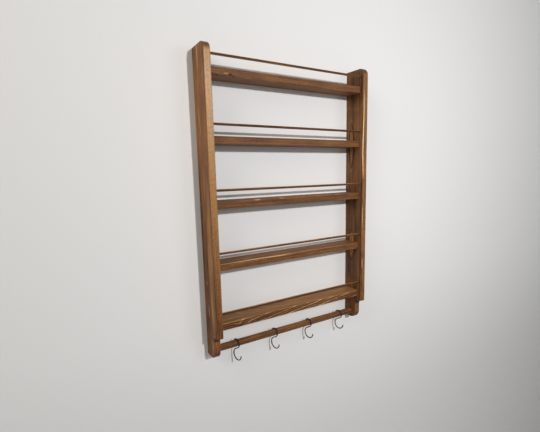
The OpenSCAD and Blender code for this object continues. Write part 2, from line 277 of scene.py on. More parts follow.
def stained_pine(
    name,
    colours,
    centre,
    pith,
    lean,
    seed,
    upright=False,
    knot=None,
    marks=(),
    bands=0.2,
    figure=1.0,
    rubbed_and_sheen=0.0,
    worn=0.3,
    polish=0.0,
    painted_front_light=0.1,
    tops=0.12,
    warm=0.0,
):
    """Planed pine, stained brown by rubbing and sealed with satin varnish.

    The stain sinks into the soft early wood and leaves the hard late wood of each ring paler and
    redder, so growth rings show as streaks along a board and as arches where they run out of a
    face. End grain drinks most and is darkest. Arrises are worn paler in patches. The upper front
    faces of the boards turn paler too, partly as stain worn thin and partly as a painted sheen of the
    light from above, and the front faces and level faces carry painted light and shade.

    centre is the piece's middle, pith the place of the tree's heart from there along Y and Z, and
    lean its tilt to the piece in degrees, so that rings run out of the faces. bands and figure are
    how much the broad bands and the rings change the tone. painted_front_light and
    tops are painted light and shade: they raise or lower the tone of the front faces
    and of the level faces, top faces and undersides, in place of how the lamps fall on each side.
    rubbed_and_sheen bares the front faces toward the top of the rack, partly as stain worn thin and
    partly as a painted sheen. worn bares the arrises, polish makes the front faces smoother and warm
    makes them redder.
    """
    material, tree, shader = new_material(name)
    deep, body, pale = colours
    own = bpy.context.scene.rack_colours
    bare_and_sheen = own.board_bare_and_sheen
    pitch = bpy.context.scene.rack_sizes.grain_pitch / MM
    place = add(tree, "ShaderNodeTexCoord").outputs
    links = {"Vector": place["Object"], "Location": [-c for c in centre]}
    centred = add(tree, "ShaderNodeMapping", links)
    # Millimetres from the piece's middle, X along the grain and Y toward the wall
    turn = math.radians(90) if upright else 0.0
    links = {"Vector": centred, "Rotation": (0.0, turn, 0.0), "Scale": [1 / MM] * 3}
    local = add(tree, "ShaderNodeMapping", links)
    layer = {
        title: mottle(tree, local, (long, wide, wide), detail, roughness, seed + shift)
        for title, (long, wide, detail, roughness, shift) in GRAIN.items()
    }
    # The grain wanders a few millimetres off its line
    wander = mottle(tree, local, (210.0, 55.0, 55.0), detail=1.5, seed=seed).outputs["Color"]
    wander = add(tree, VECTOR_MATH, {0: wander, 1: (0.5, 0.5, 0.5)}, operation="SUBTRACT")
    wander = add(tree, VECTOR_MATH, {0: wander, 1: (0.0, 9.0, 9.0), 2: local}, operation="MULTIPLY_ADD")
    # Rings round the pith, each with its own strength
    links = {
        "Vector": wander,
        "Location": (0.0, -pith[0], -pith[1]),
        "Rotation": (0.0, math.radians(lean[1]), math.radians(lean[0])),
    }
    trunk = add(tree, "ShaderNodeMapping", links)
    across = add(tree, VECTOR_MATH, {0: trunk, 1: (0.0, 1.0, 1.0)}, operation="MULTIPLY")
    radius = add(tree, VECTOR_MATH, {0: across}, operation="LENGTH").outputs["Value"]
    if knot:
        at, size = knot
        around = oval(tree, local, at, (size * 1.8, size, size))
        near = add(tree, MATH, {0: around, 1: 2.0}, operation="POWER")
        near = add(tree, MATH, {0: near, 1: -0.35}, operation="MULTIPLY")
        near = add(tree, MATH, {0: near}, operation="EXPONENT")
        radius = add(tree, MATH, {0: near, 1: size * 1.3, 2: radius}, operation="MULTIPLY_ADD")
    rings = add(tree, MATH, {0: radius, 1: pitch}, operation="DIVIDE")
    rings = add(tree, MATH, {0: rings, 1: layer["uneven"]}, operation="ADD")
    phase = add(tree, MATH, {0: rings}, operation="FRACT")
    late = add(tree, RAMP, {"Fac": phase}, LATE_WOOD)
    number = add(tree, MATH, {0: rings}, operation="FLOOR")
    whim = add(tree, "ShaderNodeTexWhiteNoise", {"W": number}, noise_dimensions="1D")
    whim = add(tree, MATH, {0: whim, 1: 0.75, 2: 0.3}, operation="MULTIPLY_ADD")
    late = add(tree, MATH, {0: late, 1: whim}, operation="MULTIPLY")
    # Rings and specks show most on the front faces, whose normals point out from the wall
    normal = add(tree, "ShaderNodeSeparateXYZ", {0: place["Normal"]}).outputs
    front = add(tree, MAP_RANGE, {"Value": normal["Y"], "From Min": -0.35, "From Max": -0.85})
    shown = add(tree, MATH, {0: front, 1: 0.8, 2: 0.2}, operation="MULTIPLY_ADD")
    ring = add(tree, MATH, {0: late, 1: 0.24}, operation="SUBTRACT")
    ring = add(tree, MATH, {0: ring, 1: shown}, operation="MULTIPLY")
    speck = add(tree, MATH, {0: layer["speck"], 1: 0.5}, operation="SUBTRACT")
    speck = add(tree, MATH, {0: speck, 1: front}, operation="MULTIPLY")
    # Each part adds to the tone by its weight, less what it usually adds
    tone = 0.31
    for part, weight, usual in (
        (ring, 0.45 * figure, 0.0),
        (layer["streak"], 0.7, 0.5),
        (layer["fibre"], 0.45, 0.5),
        (layer["cloud"], 0.4, 0.5),
        (layer["band"], bands, 0.5),
        (speck, 0.6, 0.0),
    ):
        tone = add(tree, MATH, {0: part, 1: weight, 2: tone}, operation="MULTIPLY_ADD")
        tone = add(tree, MATH, {0: tone, 1: weight * usual}, operation="SUBTRACT")
    # Painted light and shade: the tone of the front faces is raised or lowered in place of the light
    # that falls on them
    tone = add(tree, MATH, {0: front, 1: painted_front_light, 2: tone}, operation="MULTIPLY_ADD")
    # Painted light: top faces and undersides are made paler, in place of light from above and light
    # bounced up from below
    if tops:
        level = add(tree, MATH, {0: normal["Z"]}, operation="ABSOLUTE")
        level = add(tree, MAP_RANGE, {"Value": level, "From Min": 0.3, "From Max": 0.9})
        tone = add(tree, MATH, {0: level, 1: tops, 2: tone}, operation="MULTIPLY_ADD")
    # Marks: grain streaks and flames, and also painted highlights, painted shade and painted shadows, as
    # listed with each piece
    for at, half, paleness, *tilt in marks:
        reach = oval(tree, wander, at, half, *tilt)
        shape = add(tree, RAMP, {"Fac": reach}, STREAK)
        tone = add(tree, MATH, {0: shape, 1: 2.0 * paleness, 2: tone}, operation="MULTIPLY_ADD")
        tone = add(tree, MATH, {0: tone, 1: paleness}, operation="SUBTRACT")
    tone = add(tree, MATH, {0: tone, 1: 0.7}, operation="MULTIPLY")
    stain = ((0.08, deep), (0.35, body), (0.62, pale), (0.85, own.streak))
    paint = add(tree, RAMP, {"Fac": tone}, stain)
    # Arrises are where two parts of the normal are large, and their stain is worn through in patches
    first, second, grain = ("X", "Y", "Z") if upright else ("Y", "Z", "X")
    arris = add(tree, MATH, {0: normal[first], 1: normal[second]}, operation="MULTIPLY")
    arris = add(tree, MATH, {0: arris}, operation="ABSOLUTE")
    arris = add(tree, MAP_RANGE, {"Value": arris, "From Min": 0.12, "From Max": 0.42})
    patch = add(tree, MAP_RANGE, {"Value": layer["band"], "From Min": 0.35, "From Max": 0.6})
    patch = add(tree, MATH, {0: patch, 1: worn}, operation="MULTIPLY")
    arris = add(tree, MATH, {0: arris, 1: patch}, operation="MULTIPLY")
    paint = add(tree, MIX, {0: arris, 6: paint, 7: bare_and_sheen}, data_type="RGBA").outputs[2]
    if warm:
        links = {"Hue": 0.5 - warm, "Value": 1.12, "Fac": front, "Color": paint}
        paint = add(tree, "ShaderNodeHueSaturation", links)
    # Partly stain worn thin, partly a painted sheen of the light from above: the front faces turn paler
    # toward the top of the rack, in patches
    if rubbed_and_sheen:
        height = add(tree, "ShaderNodeSeparateXYZ", {0: place["Object"]}).outputs["Z"]
        rubbed_and_sheen_mask = add(tree, MAP_RANGE, {"Value": height, "From Min": -0.65, "From Max": -0.2})
        rubbed_and_sheen_mask = add(tree, MATH, {0: rubbed_and_sheen_mask, 1: rubbed_and_sheen}, operation="MULTIPLY")
        rubbed_and_sheen_mask = add(tree, MATH, {0: rubbed_and_sheen_mask, 1: front}, operation="MULTIPLY")
        left = add(tree, MAP_RANGE, {"Value": layer["speck"], "From Min": 0.38, "From Max": 0.58})
        left = add(tree, MATH, {0: left, 1: 0.4, 2: 0.6}, operation="MULTIPLY_ADD")
        rubbed_and_sheen_mask = add(tree, MATH, {0: rubbed_and_sheen_mask, 1: left}, operation="MULTIPLY")
        paint = add(tree, MIX, {0: rubbed_and_sheen_mask, 6: paint, 7: bare_and_sheen}, data_type="RGBA").outputs[2]
    end = add(tree, MATH, {0: normal[grain]}, operation="ABSOLUTE")
    end = add(tree, MAP_RANGE, {"Value": end, "From Min": 0.1, "From Max": 0.4})
    end = add(tree, MATH, {0: end, 1: 0.75}, operation="MULTIPLY")
    paint = add(tree, MIX, {0: end, 6: paint, 7: deep}, data_type="RGBA").outputs[2]
    if knot:
        heart = add(tree, MAP_RANGE, {"Value": around, "From Min": 0.62, "From Max": 0.3})
        paint = add(tree, MIX, {0: heart, 6: paint, 7: own.knot}, data_type="RGBA").outputs[2]
    height = add(tree, MATH, {0: layer["fibre"], 1: 0.7, 2: late}, operation="MULTIPLY_ADD")
    relief = add(tree, "ShaderNodeBump", {"Height": height, "Strength": 0.5, "Distance": 0.12 * MM})
    rough = add(tree, MATH, {0: layer["fibre"], 1: 0.22, 2: 0.5}, operation="MULTIPLY_ADD")
    rough = add(tree, MATH, {0: front, 1: -polish, 2: rough}, operation="MULTIPLY_ADD")
    fill(tree, shader, {"Base Color": paint, "Roughness": rough, "Normal": relief})
    fill(tree, shader, {"IOR": 1.52, "Specular IOR Level": 0.25})
    return material


def beech_dowel():
    """Turned beech: hard, pale and even, with short dark flecks along the grain."""
    material, tree, shader = new_material("Turned beech")
    base = bpy.context.scene.rack_colours.beech
    local = millimetres(tree)
    fleck = mottle(tree, local, (3.0, 0.35, 0.35), roughness=0.6)
    cloud = mottle(tree, local, (24.0, 4.0, 4.0), seed=5.0)
    mixed = add(tree, MATH, {0: cloud, 1: 0.5, 2: fleck}, operation="MULTIPLY_ADD")
    stops = ((0.45, scaled(base, 0.62)), (0.75, base), (1.0, base))
    paint = add(tree, RAMP, {"Fac": mixed}, stops)
    relief = add(tree, "ShaderNodeBump", {"Height": mixed, "Strength": 0.4, "Distance": 0.05 * MM})
    fill(tree, shader, {"Base Color": paint, "Normal": relief, "Roughness": 0.62})
    return material


def black_wire():
    """Steel wire dipped in gloss black lacquer: deep black with small sharp highlights."""
    material, tree, shader = new_material("Black lacquered steel wire")
    base = bpy.context.scene.rack_colours.wire
    local = millimetres(tree)
    peel = mottle(tree, local, (1.3, 1.3, 1.3), detail=1.0)
    wear = mottle(tree, local, (6.0, 6.0, 6.0), seed=4.0)
    stops = ((0.45, base), (0.75, scaled(base, 1.6)))
    paint = add(tree, RAMP, {"Fac": wear}, stops)
    rough = add(tree, MAP_RANGE, {"Value": wear, "To Min": 0.2, "To Max": 0.36})
    relief = add(tree, "ShaderNodeBump", {"Height": peel, "Strength": 0.08, "Distance": 0.05 * MM})
    fill(tree, shader, {"Base Color": paint, "Roughness": rough, "Normal": relief})
    fill(tree, shader, {"Coat Weight": 0.55, "Coat Roughness": 0.04, "Specular IOR Level": 0.2})
    return material


def zinc_plate():
    """Stamped steel with bright zinc plating: cool grey, half shiny, clouded and scratched."""
    material, tree, shader = new_material("Bright zinc-plated steel")
    base = bpy.context.scene.rack_colours.zinc
    local = millimetres(tree)
    cloud = mottle(tree, local, (5.0, 5.0, 5.0), detail=3.0)
    scratch = mottle(tree, local, (0.25, 0.25, 9.0), seed=9.0)
    stops = ((0.3, scaled(base, 0.72)), (0.7, base))
    paint = add(tree, RAMP, {"Fac": cloud}, stops)
    rough = add(tree, MAP_RANGE, {"Value": scratch, "To Min": 0.2, "To Max": 0.5})
    relief = add(tree, "ShaderNodeBump", {"Height": scratch, "Strength": 0.15, "Distance": 0.03 * MM})
    fill(tree, shader, {"Base Color": paint, "Roughness": rough, "Normal": relief})
    fill(tree, shader, {"Metallic": 1.0})
    return material


# Geometry Nodes


def new_tree(name, inputs):
    """A Geometry Nodes tree and its inputs, each with its default, or its kind if it has none."""
    tree = bpy.data.node_groups.new(name, "GeometryNodeTree")
    tree.interface.new_socket("Geometry", in_out="INPUT", socket_type="NodeSocketGeometry")
    for title, default in inputs.items():
        kind = {float: "Float", int: "Int"}.get(type(default), default)
        socket = tree.interface.new_socket(title, in_out="INPUT", socket_type="NodeSocket" + kind)
        if kind != default:
            socket.default_value = default
    tree.interface.new_socket("Geometry", in_out="OUTPUT", socket_type="NodeSocketGeometry")
    return tree, add(tree, "NodeGroupInput").outputs


def close_tree(tree, shape, material, smooth=False):
    """Ends a tree: real geometry, its shading, its material and the output."""
    shape = add(tree, "GeometryNodeRealizeInstances", {"Geometry": shape})
    if smooth:
        shape = add(tree, "GeometryNodeSetShadeSmooth", {"Geometry": shape, "Shade Smooth": True})
    shape = add(tree, "GeometryNodeSetMaterial", {"Geometry": shape, "Material": material})
    add(tree, "NodeGroupOutput", {0: shape})
    return tree


def grow(name, data, tree, values):
    """Runs a tree over some data and returns its result as a plain mesh object at the origin."""
    carrier = bpy.data.objects.new(name + "_source", data)
    bpy.context.scene.collection.objects.link(carrier)
    modifier = carrier.modifiers.new("Shape", "NODES")
    modifier.node_group = tree
    named = {s.name: s.identifier for s in tree.interface.items_tree if s.in_out == "INPUT"}
    for title, value in values.items():
        modifier[named[title]] = value
    ready = carrier.evaluated_get(bpy.context.evaluated_depsgraph_get())
    mesh = bpy.data.meshes.new_from_object(ready)
    mesh.name = name
    carrier.modifiers.remove(modifier)
    bpy.data.objects.remove(carrier)
    piece = bpy.data.objects.new(name, mesh)
    bpy.context.scene.collection.objects.link(piece)
    return piece


def points_mesh(name, points):
    """A mesh of loose points."""
    mesh = bpy.data.meshes.new(name)
    mesh.from_pydata([tuple(p) for p in points], [], [])
    return mesh


def round_bars_tree():
    """Round bars along X, one on each point, with chamfered ends, and flutes where asked."""
    inputs = {
        "Length": 0.4,
        "Diameter": 0.005,
        "Chamfer": 0.0005,
        "Flutes": 0,
        "Flute Depth": 0.0,
        "Sides": 32,
        "Material": "Material",
    }
    tree, given = new_tree("Round Bars", inputs)
    chamfer = given["Chamfer"]
    half = add(tree, MATH, {0: given["Length"], 1: 0.5}, operation="MULTIPLY")
    inset = add(tree, MATH, {0: half, 1: chamfer}, operation="SUBTRACT")
    width = add(tree, MATH, {0: given["Diameter"], 1: 0.5}, operation="MULTIPLY")
    start = add(tree, MATH, {0: half, 1: -1.0}, operation="MULTIPLY")
    start = add(tree, "ShaderNodeCombineXYZ", {"X": start})
    stop = add(tree, "ShaderNodeCombineXYZ", {"X": half})
    line = add(tree, "GeometryNodeCurvePrimitiveLine", {"Start": start, "End": stop})
    line = add(tree, "GeometryNodeResampleCurve", {"Curve": line, "Count": 8})
    # The second of the eight points from each end slides out to the chamfer's edge
    index = add(tree, "GeometryNodeInputIndex")
    where = add(tree, "GeometryNodeInputPosition")
    for number, sign in ((1, -1.0), (6, 1.0)):
        links = {2: index, 3: number}
        chosen = add(tree, "FunctionNodeCompare", links, data_type="INT", operation="EQUAL")
        edge = add(tree, MATH, {0: inset, 1: sign}, operation="MULTIPLY")
        edge = add(tree, "ShaderNodeCombineXYZ", {"X": edge})
        links = {"Geometry": line, "Selection": chosen, "Position": edge}
        line = add(tree, "GeometryNodeSetPosition", links)
    # Past that edge the bar loses as much radius as it gains length
    spot = add(tree, "ShaderNodeSeparateXYZ", {0: where}).outputs
    past = add(tree, MATH, {0: spot["X"]}, operation="ABSOLUTE")
    past = add(tree, MATH, {0: past, 1: inset}, operation="SUBTRACT")
    taper = add(tree, MAP_RANGE, {"Value": past, "From Max": chamfer, "To Max": chamfer})
    taper = add(tree, MATH, {0: taper, 1: width}, operation="DIVIDE")
    share = add(tree, MATH, {0: 1.0, 1: taper}, operation="SUBTRACT")
    line = add(tree, "GeometryNodeSetCurveRadius", {"Curve": line, "Radius": share})
    ring = add(tree, "GeometryNodeCurvePrimitiveCircle", {"Resolution": given["Sides"], "Radius": width})
    # Flutes: the profile's radius falls and rises with a wave round it
    angle = add(tree, MATH, {0: spot["Y"], 1: spot["X"]}, operation="ARCTAN2")
    wave = add(tree, MATH, {0: angle, 1: given["Flutes"]}, operation="MULTIPLY")
    wave = add(tree, MATH, {0: wave}, operation="COSINE")
    dip = add(tree, MATH, {0: wave, 1: -0.5, 2: 0.5}, operation="MULTIPLY_ADD")
    dip = add(tree, MATH, {0: dip, 1: given["Flute Depth"]}, operation="MULTIPLY")
    dip = add(tree, MATH, {0: dip, 1: width}, operation="DIVIDE")
    kept = add(tree, MATH, {0: 1.0, 1: dip}, operation="SUBTRACT")
    fluted = add(tree, VECTOR_MATH, {0: where, "Scale": kept}, operation="SCALE")
    ring = add(tree, "GeometryNodeSetPosition", {"Geometry": ring, "Position": fluted})
    own = add(tree, "GeometryNodeInputRadius")
    links = {"Curve": line, "Profile Curve": ring, "Scale": own, "Fill Caps": True}
    bar = add(tree, "GeometryNodeCurveToMesh", links)
    placed = add(tree, "GeometryNodeInstanceOnPoints", {"Points": given["Geometry"], "Instance": bar})
    return close_tree(tree, placed, given["Material"])


def bent_wire_tree():
    """Round wire along a path, with its two ends rounded off."""
    inputs = {
        "Diameter": 0.003,
        "Step": 0.0005,
        "Sides": 20,
        "Material": "Material",
    }
    tree, given = new_tree("Bent Wire", inputs)
    links = {"Curve": given["Geometry"], "Length": given["Step"]}
    path = add(tree, "GeometryNodeResampleCurve", links, mode="LENGTH")
    radius = add(tree, MATH, {0: given["Diameter"], 1: 0.5}, operation="MULTIPLY")
    spot = add(tree, "GeometryNodeSplineParameter").outputs["Length"]
    whole = add(tree, "GeometryNodeSplineLength").outputs["Length"]
    left = add(tree, MATH, {0: whole, 1: spot}, operation="SUBTRACT")
    nearest = add(tree, MATH, {0: spot, 1: left}, operation="MINIMUM")
    # A ball's outline over the last radius of the path, with a least width for the caps
    back = add(tree, MATH, {0: nearest, 1: radius}, operation="DIVIDE")
    back = add(tree, MATH, {0: 1.0, 1: back}, operation="SUBTRACT", use_clamp=True)
    back = add(tree, MATH, {0: back, 1: back}, operation="MULTIPLY")
    share = add(tree, MATH, {0: 1.0, 1: back}, operation="SUBTRACT")
    share = add(tree, MATH, {0: share, 1: 0.0004}, operation="MAXIMUM")
    share = add(tree, MATH, {0: share}, operation="SQRT")
    path = add(tree, "GeometryNodeSetCurveRadius", {"Curve": path, "Radius": share})
    links = {"Resolution": given["Sides"], "Radius": radius}
    ring = add(tree, "GeometryNodeCurvePrimitiveCircle", links)
    own = add(tree, "GeometryNodeInputRadius")
    links = {"Curve": path, "Profile Curve": ring, "Scale": own, "Fill Caps": True}
    wire = add(tree, "GeometryNodeCurveToMesh", links)
    return close_tree(tree, wire, given["Material"], smooth=True)


def screws_tree():
    """One screw on each point, each with a cross recess cut in its head and its own turn."""
    inputs = {
        "Screw": "Object",
        "Recess Width": 0.0007,
        "Recess Span": 0.003,
        "Recess Depth": 0.0008,
        "Seed": 3,
        "Material": "Material",
    }
    tree, given = new_tree("Plate Screws", inputs)
    screw = add(tree, "GeometryNodeObjectInfo", {"Object": given["Screw"]}).outputs["Geometry"]
    cut = add(tree, "GeometryNodeMeshBoolean", {0: screw}, operation="DIFFERENCE", solver="MANIFOLD")
    twice = add(tree, MATH, {0: given["Recess Depth"], 1: 2.0}, operation="MULTIPLY")
    for x, z in (("Recess Span", "Recess Width"), ("Recess Width", "Recess Span")):
        size = add(tree, "ShaderNodeCombineXYZ", {"X": given[x], "Y": twice, "Z": given[z]})
        fill(tree, cut, {1: add(tree, "GeometryNodeMeshCube", {"Size": size})})
    links = {0: (0.0, 0.0, 0.0), 1: (0.0, math.tau, 0.0), "Seed": given["Seed"]}
    turn = add(tree, "FunctionNodeRandomValue", links, data_type="FLOAT_VECTOR")
    links = {"Points": given["Geometry"], "Instance": cut, "Rotation": turn}
    placed = add(tree, "GeometryNodeInstanceOnPoints", links)
    return close_tree(tree, placed, given["Material"])


def smooth_by_angle(piece):
    """Shades a mesh smooth but for its sharp edges."""
    piece.data.shade_smooth()
    piece.data.set_sharp_from_angle(angle=ROUND_BELOW)


def stand_for(piece, node, body):
    """The piece takes a CAD node's place and moves with its body."""
    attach(piece, body)
    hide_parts(node)


def repaint(node, material):
    """Puts a material on a CAD node in place of its own."""
    slots = frame["nodes"][node].data.materials
    slots.clear()
    slots.append(material)


# How each board and shelf is cut, in millimetres from its middle with X along the grain. A knot is
# (place, radius). A mark is a streak (place, half sizes, paleness, turn in degrees where it has
# one), dark where its paleness is below zero; most are grain, and those that are painted light,
# shade or shadow say so above them. FACE is a board's face that shows
FACE = extent("side_board_left").x / MM / 2
EDGE = -extent("side_board_left").y / MM / 2
BOARDS = {
    "left": {
        "pith": (-38.0, 70.0),
        "lean": (0.8, 1.1),
        "seed": 1.0,
        "rubbed_and_sheen": 0.83,
        "bands": 0.35,
        "polish": 0.3,
        "warm": 0.01,
        "tops": 0.0,
        "painted_front_light": -0.06,
        "marks": (
            ((200.0, 0.0, FACE), (290.0, 70.0, 6.0), 0.13),
            # Painted reflection: the front part of the outer face is paler where it mirrors the lit wall
            ((-130.0, -18.0, FACE), (240.0, 20.0, 6.0), 0.3),
            # Painted shadow: dark in the cove under the step, where the step shades it from the light
            # above
            ((-314.0, -16.0, 0.0), (12.0, 9.0, 14.0), -0.6),
            ((366.0, 6.5, FACE), (60.0, 3.4, 5.0), 0.45, 6.0),
            ((206.0, 10.5, FACE), (48.0, 2.8, 5.0), 0.45, 7.0),
            ((-178.0, 12.5, FACE), (10.0, 1.8, 4.0), 0.7),
            ((-250.0, 8.8, FACE), (24.0, 2.2, 4.0), 0.7, 2.0),
            ((-335.0, -7.0, FACE), (20.0, 2.4, 4.0), 0.7, 19.0),
            # Painted shade: two dark lines near the back of the outer face, where it mirrors the
            # shadowed wall and gets less bounced light
            ((10.0, 29.5, FACE), (250.0, 2.4, 4.0), -0.3, 0.5),
            ((-60.0, 23.5, FACE), (190.0, 1.5, 4.0), -0.24, -0.5),
        ),
    },
    "right": {
        "pith": (12.0, -52.0),
        "lean": (-0.9, 1.4),
        "seed": 6.0,
        "rubbed_and_sheen": 0.15,
        "bands": 0.45,
        "polish": 0.1,
        "tops": 0.0,
        "painted_front_light": -0.05,
        "marks": (
            ((230.0, 0.0, FACE), (260.0, 70.0, 6.0), 0.13),
            # Darker top of the inner face: partly the wood's own colour, partly painted shade under the
            # first shelf
            ((325.0, 0.0, FACE), (66.0, 60.0, 6.0), -0.17),
            # Painted shadow: dark in the cove under the step, where the step shades it from the light
            # above
            ((-314.0, -16.0, 0.0), (12.0, 9.0, 14.0), -0.6),
            ((160.0, 12.0, FACE), (78.0, 18.0, 7.0), -0.3),
            ((160.0, 12.0, FACE), (68.0, 10.0, 7.0), 0.6),
            ((170.0, 12.0, FACE), (60.0, 3.5, 7.0), -0.25),
            ((-138.0, 7.0, FACE), (50.0, 12.0, 7.0), 0.5),
            ((-138.0, 7.0, FACE), (34.0, 4.0, 7.0), -0.35),
            # Painted highlight: pale streaks along the front face's inner arris, where it catches a
            # sheen
            ((200.0, EDGE, 5.9), (160.0, 5.0, 2.1), 0.95),
            ((98.0, EDGE, 5.0), (46.0, 5.0, 1.8), 0.8),
            ((-45.0, EDGE, 4.8), (46.0, 5.0, 1.5), 0.95),
            ((-188.0, EDGE, 4.6), (25.0, 5.0, 1.5), 0.95),
        ),
    },
}
SHELF_EDGE = -extent("shelf_1").y / MM / 2
SHELF_TOP = extent("shelf_1").z / MM / 2
PINE_SHELVES = {
    1: {
        "pith": (20.0, 48.0),
        "lean": (0.6, 1.2),
        "seed": 2.0,
        "figure": 0.4,
        "tops": 0.3,
        "worn": 0.1,
        "knot": ((-174.0, SHELF_EDGE, -5.0), 6.0),
        "marks": (
            ((-184.0, SHELF_EDGE, -3.5), (9.0, 4.0, 3.0), 0.35),
            ((-166.0, SHELF_EDGE, -7.5), (5.0, 4.0, 2.0), -0.8),
            ((-207.0, SHELF_EDGE, -8.5), (6.0, 4.0, 1.4), -0.8),
            ((0.0, SHELF_EDGE, SHELF_TOP), (220.0, 3.0, 1.6), -0.5),
        ),
    },
    2: {"pith": (-30.0, 60.0), "lean": (-0.4, 0.8), "seed": 9.0, "figure": 0.6},
    3: {
        "pith": (44.0, -30.0),
        "lean": (0.9, -1.6),
        "seed": 13.0,
        "figure": 0.6,
        "marks": (
            # Painted highlight: pale streaks along the top front arris, where it catches a sheen
            ((-114.0, SHELF_EDGE, 7.0), (14.0, 4.0, 1.6), 0.5),
            ((-44.0, SHELF_EDGE, 7.0), (12.0, 4.0, 1.6), 0.5),
            ((147.0, SHELF_EDGE, 7.5), (22.0, 4.0, 1.6), 0.5),
        ),
    },
    4: {
        "pith": (-8.0, 62.0),
        "lean": (0.5, -0.9),
        "seed": 21.0,
        "figure": 0.6,
        "tops": 0.2,
        "worn": 0.6,
        # Painted highlight: a pale line along the left part of the top front arris, where it catches a
        # sheen
        "marks": (((-115.0, SHELF_EDGE, 8.2), (125.0, 3.5, 1.8), 0.85),),
    },
    5: {
        "pith": (24.0, -44.0),
        "lean": (1.4, 6.5),
        "seed": 27.0,
        "tops": 0.38,
        "figure": 1.9,
        "worn": 0.5,
        "knot": ((-173.0, SHELF_EDGE, -6.0), 6.5),
        "marks": (
            ((-175.0, SHELF_EDGE, 7.5), (62.0, 4.0, 2.0), 0.55),
            ((142.0, SHELF_EDGE, -1.0), (9.0, 4.0, 1.8), 0.5),
        ),
    },
}


# Operators


class RACK_OT_side_boards(bpy.types.Operator):
    """Stained pine for the two side boards"""

    bl_idname = "rack.side_boards"
    bl_label = "Side Boards"

    def execute(self, context):
        c = context.scene.rack_colours
        stain = (c.board_deep, c.board_body, c.board_pale)
        for side in SIDES:
            node = f"side_board_{side}"
            title = f"Stained pine board, {side}"
            repaint(node, stained_pine(title, stain, middle(node), upright=True, **BOARDS[side]))
        return {"FINISHED"}


class RACK_OT_shelves(bpy.types.Operator):
    """Stained pine for the shelves"""

    bl_idname = "rack.shelves"
    bl_label = "Shelves"

    def execute(self, context):
        c = context.scene.rack_colours
        stain = (c.shelf_deep, c.shelf_body, c.shelf_pale)
        for i, plan in PINE_SHELVES.items():
            node = f"shelf_{i}"
            repaint(node, stained_pine(f"Stained pine shelf {i}", stain, middle(node), **plan))
        return {"FINISHED"}


class RACK_OT_shelf_pins(bpy.types.Operator):
    """Fluted beech pins in the joints between shelves and boards"""

    bl_idname = "rack.shelf_pins"
    bl_label = "Shelf Pins"

    def execute(self, context):
        sizes = context.scene.rack_sizes
        tree = round_bars_tree()
        values = {
            "Length": sizes.pin_length,
            "Diameter": sizes.pin_diameter,
            "Chamfer": 0.8 * MM,
            "Flutes": 14,
            "Flute Depth": 0.35 * MM,
            "Sides": 84,
            "Material": beech_dowel(),
        }
        out = sizes.pin_diameter / 2
        for i in range(1, SHELVES + 1):
            low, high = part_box(f"shelf_pins_{i}")
            places = [
                (sign * (high.x - sizes.pin_length / 2), y, (low.z + high.z) / 2)
                for sign in (-1, 1)
                for y in (low.y + out, high.y - out)
            ]
            pins = grow(f"fluted_pins_{i}", points_mesh("pin places", places), tree, values)
            smooth_by_angle(pins)
            stand_for(pins, f"shelf_pins_{i}", "rack")
        return {"FINISHED"}


class RACK_OT_rails(bpy.types.Operator):
    """Round stained rails: a thin one above each shelf and the thick one between the tails"""

    bl_idname = "rack.rails"
    bl_label = "Rails"

    def execute(self, context):
        sizes = context.scene.rack_sizes
        c = context.scene.rack_colours
        # The last number of each is painted light on the rail's top face and underside
        thin = ((c.rail_deep, c.rail_body, c.rail_pale), sizes.guard_diameter, 0.55)
        thick = ((c.shelf_deep, c.shelf_body, c.shelf_pale), sizes.mug_rail_diameter, 0.22)
        rails = {f"guard_rail_{i}": thin for i in range(1, SHELVES + 1)} | {"mug_rail": thick}
        tree = round_bars_tree()
        for number, (node, (stain, diameter, tops)) in enumerate(rails.items()):
            wood = stained_pine(
                f"Stained round rail {number + 1}",
                stain,
                middle(node),
                pith=(30.0 - 9.0 * number, 40.0),
                lean=(0.7, -0.5),
                seed=31.0 + number,
                figure=0.7,
                worn=0.1,
                tops=tops,
                painted_front_light=0.05,
            )
            values = {
                "Length": extent(node).x,
                "Diameter": diameter,
                "Chamfer": diameter * 0.08,
                "Sides": 48,
                "Material": wood,
            }
            place = points_mesh("rail place", [middle(node)])
            rail = grow(f"turned_{node}", place, tree, values)
            smooth_by_angle(rail)
            stand_for(rail, node, "rack")
        return {"FINISHED"}


